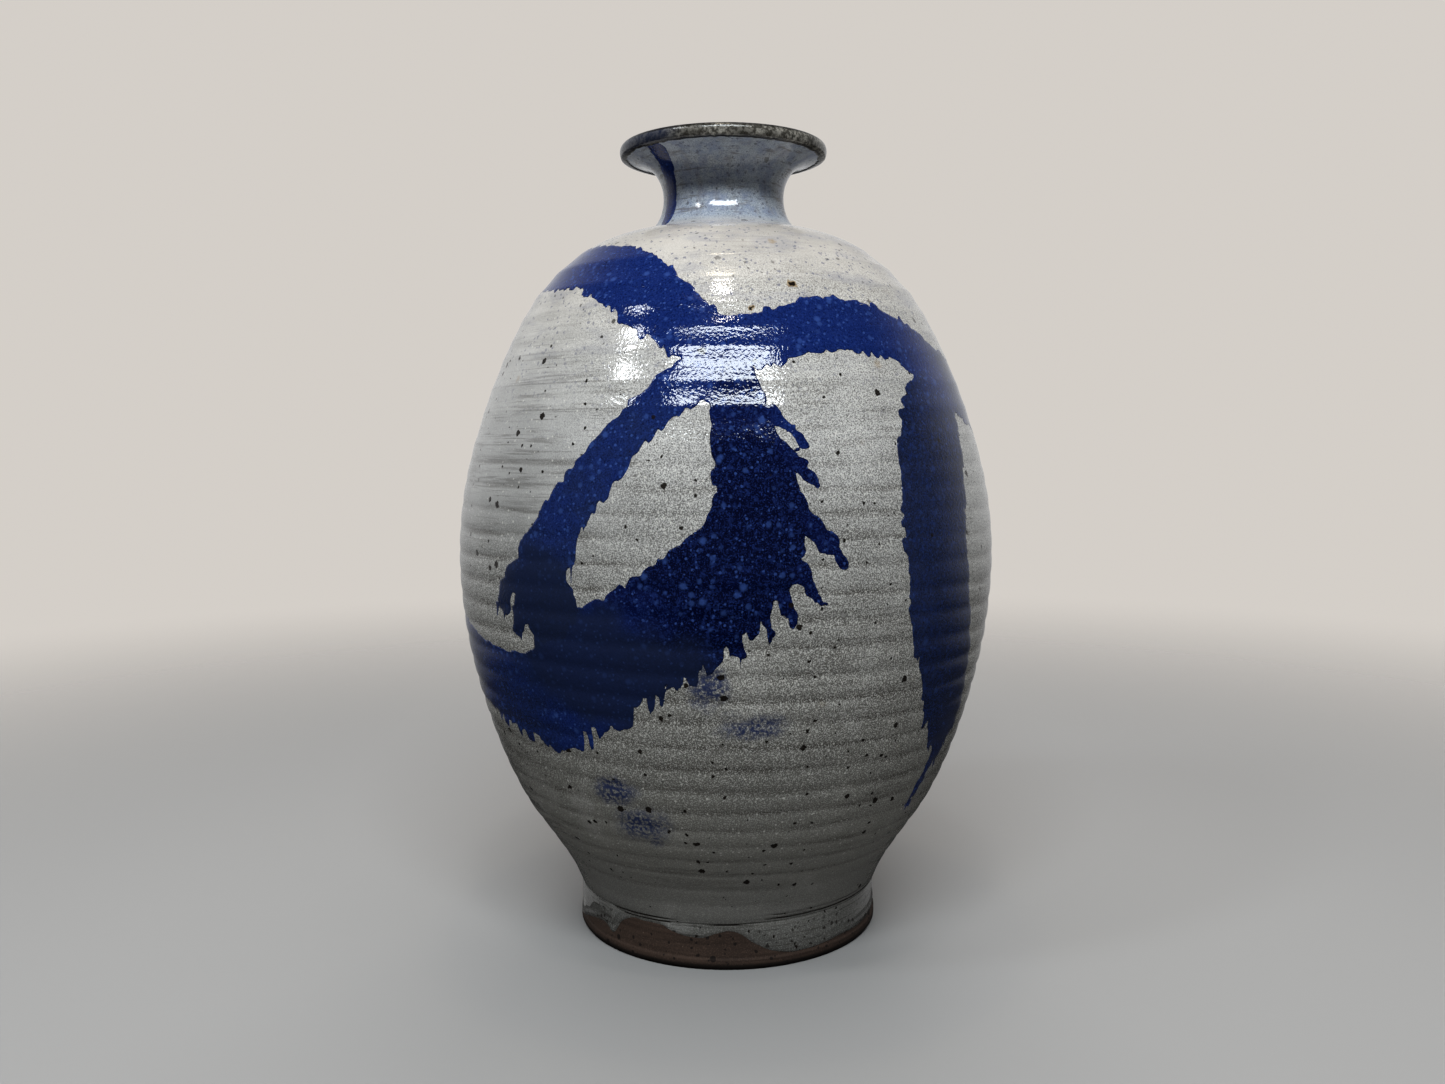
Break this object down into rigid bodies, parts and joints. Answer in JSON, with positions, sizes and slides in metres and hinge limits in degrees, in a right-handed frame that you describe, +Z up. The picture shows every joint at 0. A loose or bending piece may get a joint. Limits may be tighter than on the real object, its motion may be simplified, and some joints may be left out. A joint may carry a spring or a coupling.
{
  "type": "stoneware bottle vase",
  "caption": "Tall ovoid stoneware bottle with a short narrow neck, a flared round mouth and a low foot ring; an open-mouthed vessel that stands on a flat foot.",
  "frame": {"origin": "centre of the foot ring's underside, on the pot's centre line", "axes": "+Z up along the centre line towards the mouth; -Y is the side with the main brushwork"},
  "size_m": [0.2604, 0.2604, 0.38],
  "materials": {
    "bare_clay": "bare, matt, iron-bearing stoneware",
    "body_glaze": "satin speckled grey glaze",
    "neck_glaze": "glossy blue-grey glaze",
    "rim_glaze": "glossy mottled iron-brown glaze",
    "cobalt_glaze": "glossy cobalt blue brushwork with pale dots"
  },
  "bodies": {
    "root": {"foot_ring": "bare_clay", "base_disc": "bare_clay", "lower_body": "body_glaze", "upper_body": "body_glaze", "neck_collar": "neck_glaze", "mouth_rim": "rim_glaze"}
  },
  "joints": []
}
